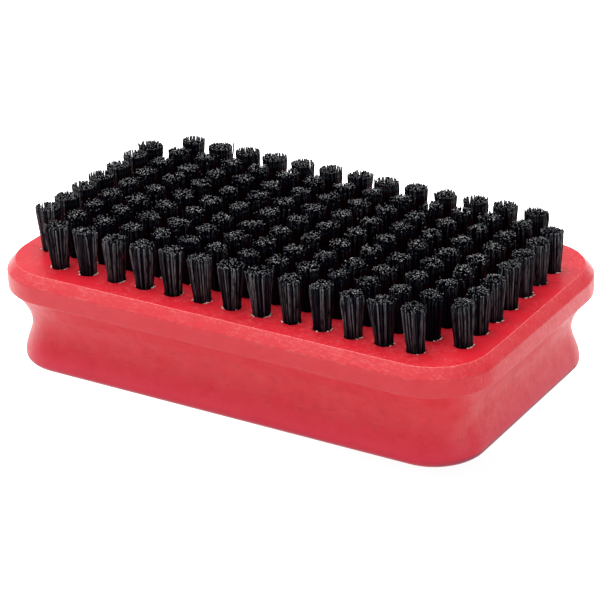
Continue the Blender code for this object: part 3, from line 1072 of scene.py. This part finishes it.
def add_splinter(bm, x, y, block, chance):
    """One tapered sliver that lies on the rim of the hole at this place."""
    turn = chance.choice(SPLINTER_TURNS) + chance.gauss(0, SPLINTER_TURN_SPREAD)
    out = block.hole_diameter / 2 + chance.uniform(*SPLINTER_OUT) * MM
    spot = Vector((x + out * math.cos(turn), y + out * math.sin(turn), FACE_HEIGHT))
    ranges = (SPLINTER_LENGTH, SPLINTER_WIDTH, SPLINTER_THICKNESS)
    long, wide, thin = (chance.uniform(*limits) * MM for limits in ranges)
    aside = turn + math.pi / 2 + chance.gauss(0, SPLINTER_HEADING_SPREAD)
    heading = Matrix.Rotation(aside, 4, "Z")
    tilt = Matrix.Rotation(chance.uniform(*SPLINTER_TILT), 4, "Y")
    lying = Matrix.Rotation(math.pi / 2, 4, "Y")
    size = Matrix.Diagonal((long, wide, thin, 1.0))
    made = bmesh.ops.create_cone(
        bm, cap_ends=True, segments=SPLINTER_SIDES, radius1=0.5, radius2=0.2, depth=1.0,
        matrix=Matrix.Translation(spot) @ heading @ tilt @ size @ lying,
    )
    for vert in made["verts"]:
        vert.co += Vector([chance.uniform(*SPLINTER_ROUGHNESS) * MM for _ in range(3)])


def make_splinters(block, finish):
    """Slivers of bare wood that the drill tore up round the holes."""
    chance = random.Random(SPLINTER_SEED)
    bm = bmesh.new()
    for _, places in tuft_rows(block.row_pitch):
        for x, y in places:
            for _ in range(chance.randrange(*SPLINTER_COUNT)):
                add_splinter(bm, x, y, block, chance)
    add_piece("torn_hole_rims", bm, bare_beech("bare beech", finish))


def make_floor(stage):
    """A pale floor that shows white and keeps the brush's soft shadow. It glows brighter behind the brush and
    at the left, and its reflections show a painted shadow close to the brush.
    """
    bm = bmesh.new()
    bmesh.ops.create_grid(bm, x_segments=1, y_segments=1, size=stage.floor_size / 2)
    bmesh.ops.translate(bm, vec=(0.0, 0.0, -FLOOR_DROP), verts=bm.verts)
    floor = add_object("floor", add_mesh("floor", bm))
    shader = Shader(bpy.data.materials.new("white floor"))
    direct, through, glossy = shader.rays()
    seen = (direct + through + glossy).clamped() * FLOOR_SHARE
    place = shader.node("ShaderNodeTexCoord", output="Object")
    x, y, _ = shader.axes(place)
    behind = (y - x * BACKDROP_SLOPE).between(*BACKDROP_BORDER)
    bright = behind + x.between(*LEFT_BORDER) * LEFT_SHARE * (1.0 - behind)
    distance = shader.node("ShaderNodeVectorMath", {"operation": "LENGTH"}, {0: place}, output="Value")
    shade = 1.0 - glossy * distance.between(*CONTACT_BORDER) * CONTACT_SHADE
    lit = shader.node("ShaderNodeBsdfDiffuse", {}, {"Color": stage.floor})
    white = {"Color": (1.0, 1.0, 1.0), "Strength": (FLOOR_WHITE + bright * stage.backdrop) * shade}
    glow = shader.node("ShaderNodeEmission", {}, white)
    mixed = shader.node("ShaderNodeMixShader", {}, {0: seen, 1: lit, 2: glow})
    floor.data.materials.append(shader.finish(mixed))


def make_world(stage):
    """White surroundings, at full white for the camera and dimmer in reflections."""
    world = bpy.data.worlds.new("white surroundings")
    bpy.context.scene.world = world
    shader = Shader(world)
    direct, through, glossy = shader.rays()
    seen = (direct + through + glossy * stage.mirrored_sky).clamped()
    strength = seen + (1.0 - seen) * stage.sky
    surface = shader.node("ShaderNodeBackground", {}, {"Color": (1.0, 1.0, 1.0), "Strength": strength})
    shader.finish(surface, "ShaderNodeOutputWorld")


def add_lamp(name, place, size, radiance):
    """A square soft lamp that points at the brush."""
    lamp = bpy.data.lights.new(name, "AREA")
    lamp.shape = "SQUARE"
    lamp.size = size
    lamp.energy = radiance * math.pi * size * size
    obj = add_object(name, lamp)
    obj.location = place
    obj.rotation_euler = (-Vector(place)).to_track_quat("-Z", "Y").to_euler()


def make_camera(stage):
    """The camera, at the photograph's viewing angle."""
    camera = bpy.data.cameras.new("camera")
    camera.lens = stage.lens
    camera.sensor_width = SENSOR_WIDTH
    obj = add_object("camera", camera)
    place = Vector(stage.camera_place)
    aim = Vector(stage.camera_aim)
    roll = Quaternion((0.0, 0.0, 1.0), stage.camera_roll)
    obj.location = place
    obj.rotation_mode = "QUATERNION"
    obj.rotation_quaternion = (aim - place).to_track_quat("-Z", "Y") @ roll
    bpy.context.scene.camera = obj


class BRUSH_OT_block(bpy.types.Operator):
    """Model the stained beech block with its groove and holes"""

    bl_idname = "brush.block"
    bl_label = "Beech block"

    def execute(self, context):
        make_block(context.scene.brush_block, context.scene.brush_wood)
        return {"FINISHED"}


class BRUSH_OT_splinters(bpy.types.Operator):
    """Scatter slivers of torn wood round the holes"""

    bl_idname = "brush.splinters"
    bl_label = "Torn hole rims"

    def execute(self, context):
        make_splinters(context.scene.brush_block, context.scene.brush_wood)
        return {"FINISHED"}


class BRUSH_OT_tufts(bpy.types.Operator):
    """Set every tuft of nylon filaments"""

    bl_idname = "brush.tufts"
    bl_label = "Nylon tufts"

    def execute(self, context):
        make_tufts(context.scene.brush_block, context.scene.brush_tufts)
        return {"FINISHED"}


class BRUSH_OT_anchors(bpy.types.Operator):
    """Put a flat wire anchor across the bottom of each hole"""

    bl_idname = "brush.anchors"
    bl_label = "Wire anchors"

    def execute(self, context):
        make_anchors(context.scene.brush_block)
        return {"FINISHED"}


class BRUSH_OT_stage(bpy.types.Operator):
    """Set the white stage, its lamps and the camera"""

    bl_idname = "brush.stage"
    bl_label = "Stage"

    def execute(self, context):
        stage = context.scene.brush_stage
        make_floor(stage)
        make_world(stage)
        for name, place, size in LAMPS:
            add_lamp(f"{name} lamp", place, size, getattr(stage, name))
        make_camera(stage)
        context.scene.view_settings.view_transform = "Standard"
        return {"FINISHED"}


class BRUSH_PT_panel(bpy.types.Panel):
    """Lists the brush's pieces and the stage"""

    bl_label = "Ski wax brush"
    bl_idname = "BRUSH_PT_panel"
    bl_space_type = "VIEW_3D"
    bl_region_type = "UI"
    bl_category = "Brush"

    def draw(self, context):
        for operator in OPERATORS:
            self.layout.operator(operator.bl_idname)
        for name in GROUPS:
            settings = getattr(context.scene, name)
            box = self.layout.box()
            for field in settings.__annotations__:
                box.prop(settings, field)


OPERATORS = (BRUSH_OT_block, BRUSH_OT_splinters, BRUSH_OT_tufts, BRUSH_OT_anchors, BRUSH_OT_stage)
GROUPS = {
    "brush_block": BlockSizes,
    "brush_wood": WoodFinish,
    "brush_tufts": TuftSizes,
    "brush_stage": StageSettings,
}


def register():
    for group in GROUPS.values():
        bpy.utils.register_class(group)
    for cls in (*OPERATORS, BRUSH_PT_panel):
        bpy.utils.register_class(cls)
    for name, group in GROUPS.items():
        setattr(bpy.types.Scene, name, bpy.props.PointerProperty(type=group))


def unregister():
    for name in GROUPS:
        delattr(bpy.types.Scene, name)
    for cls in (*OPERATORS, BRUSH_PT_panel, *GROUPS.values()):
        bpy.utils.unregister_class(cls)


def main():
    register()
    bpy.ops.brush.block()
    bpy.ops.brush.splinters()
    bpy.ops.brush.tufts()
    bpy.ops.brush.anchors()
    bpy.ops.brush.stage()


if __name__ == "__main__":
    main()
